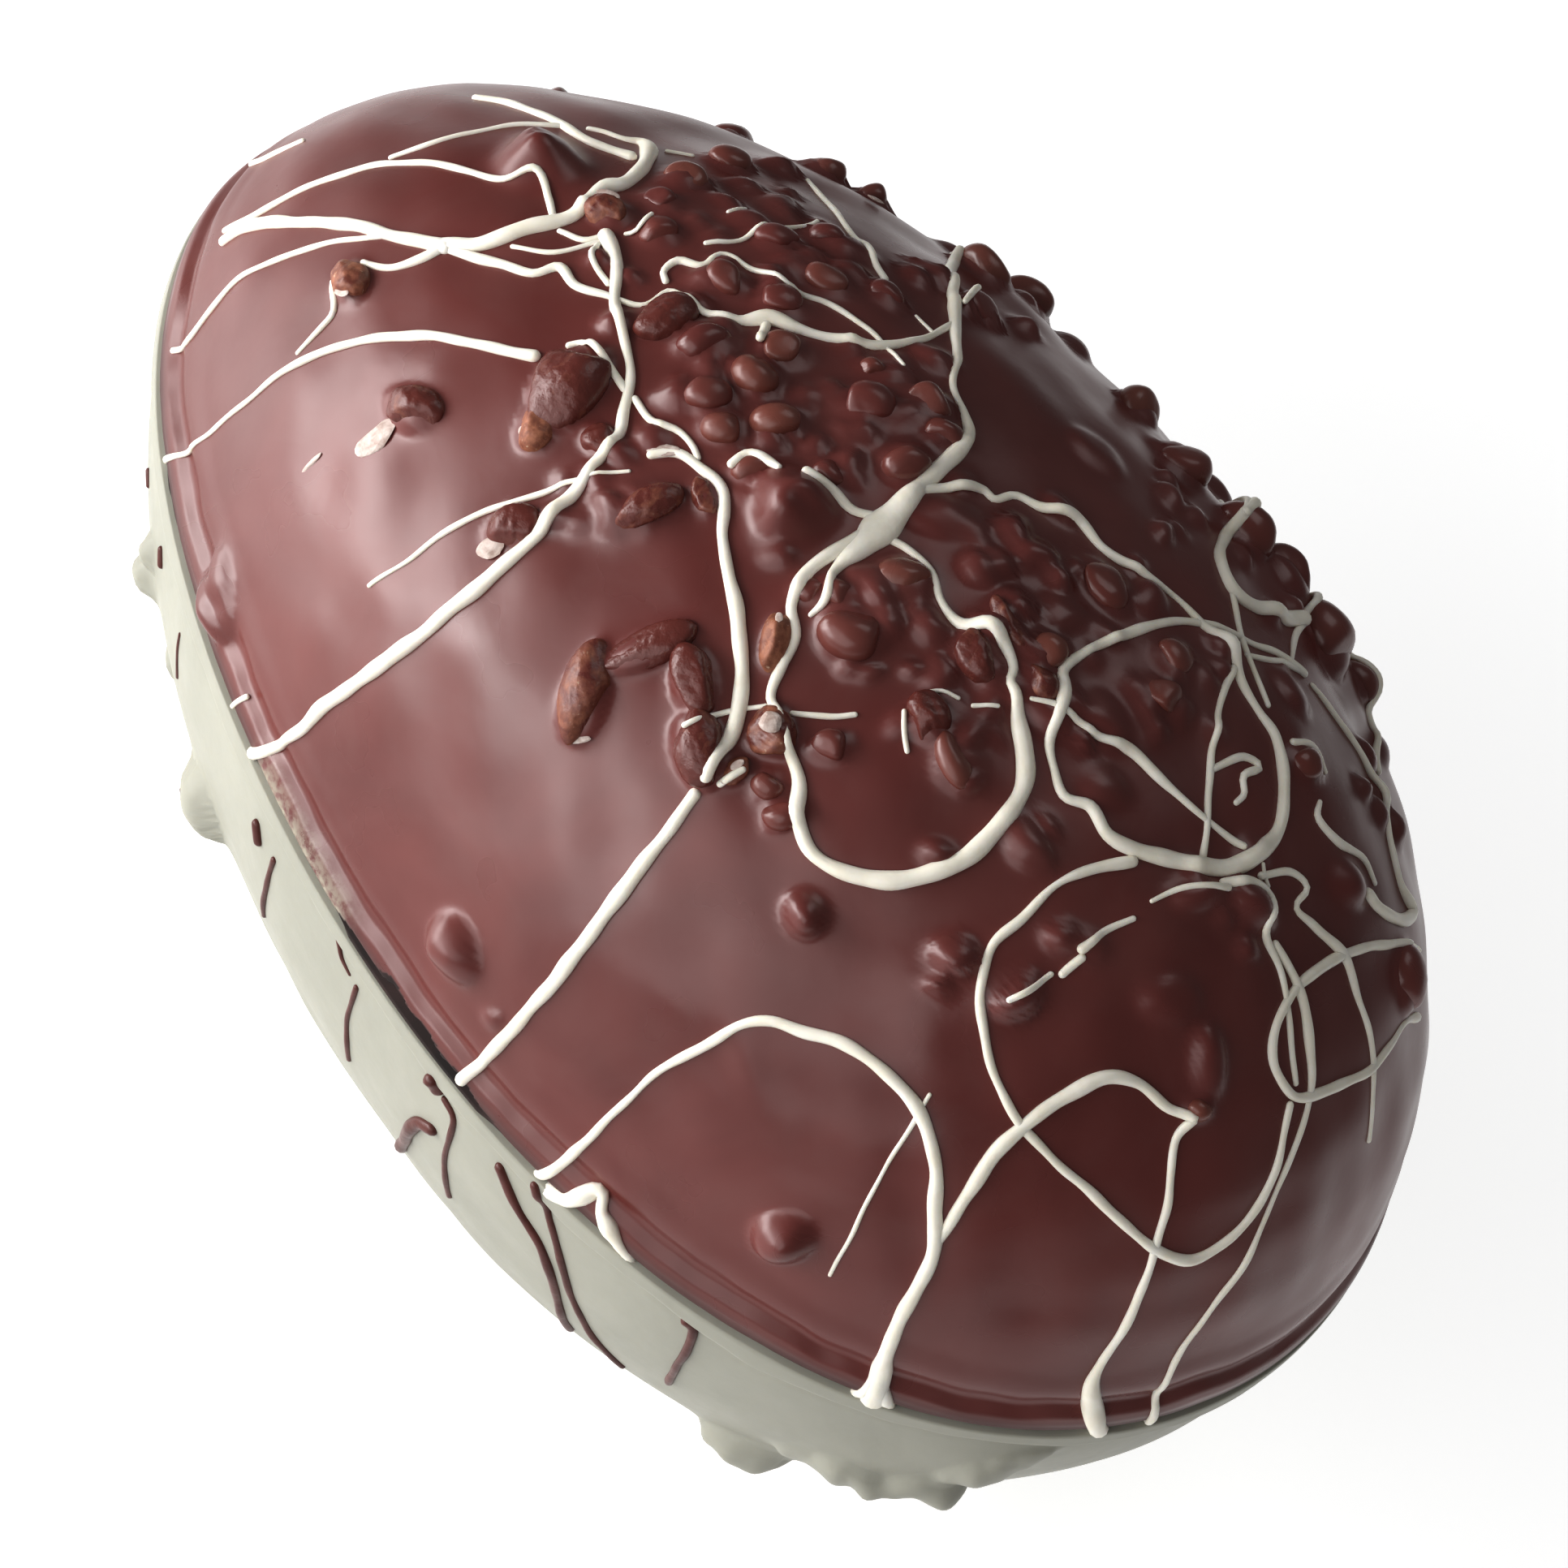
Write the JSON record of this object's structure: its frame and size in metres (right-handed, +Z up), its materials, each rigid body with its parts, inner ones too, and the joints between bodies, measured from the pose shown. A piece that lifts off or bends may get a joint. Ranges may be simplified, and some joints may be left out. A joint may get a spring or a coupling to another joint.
{
  "type": "chocolate egg",
  "caption": "Large egg of two solid half shells lying on its side, dark half up with crisps, nuts and pale drizzle, white half below.",
  "frame": {"origin": "centre of the small flat spot under mid-length that the egg rests on", "axes": "+X towards the broad end, +Y towards the far flank, +Z up"},
  "size_m": [0.2024, 0.1324, 0.1331],
  "materials": {
    "dark_chocolate": "satin brown chocolate with a faint bloom",
    "white_chocolate": "satin ivory white chocolate"
  },
  "bodies": {
    "root": {"dark_half": "dark_chocolate", "white_half": "white_chocolate"}
  },
  "joints": []
}
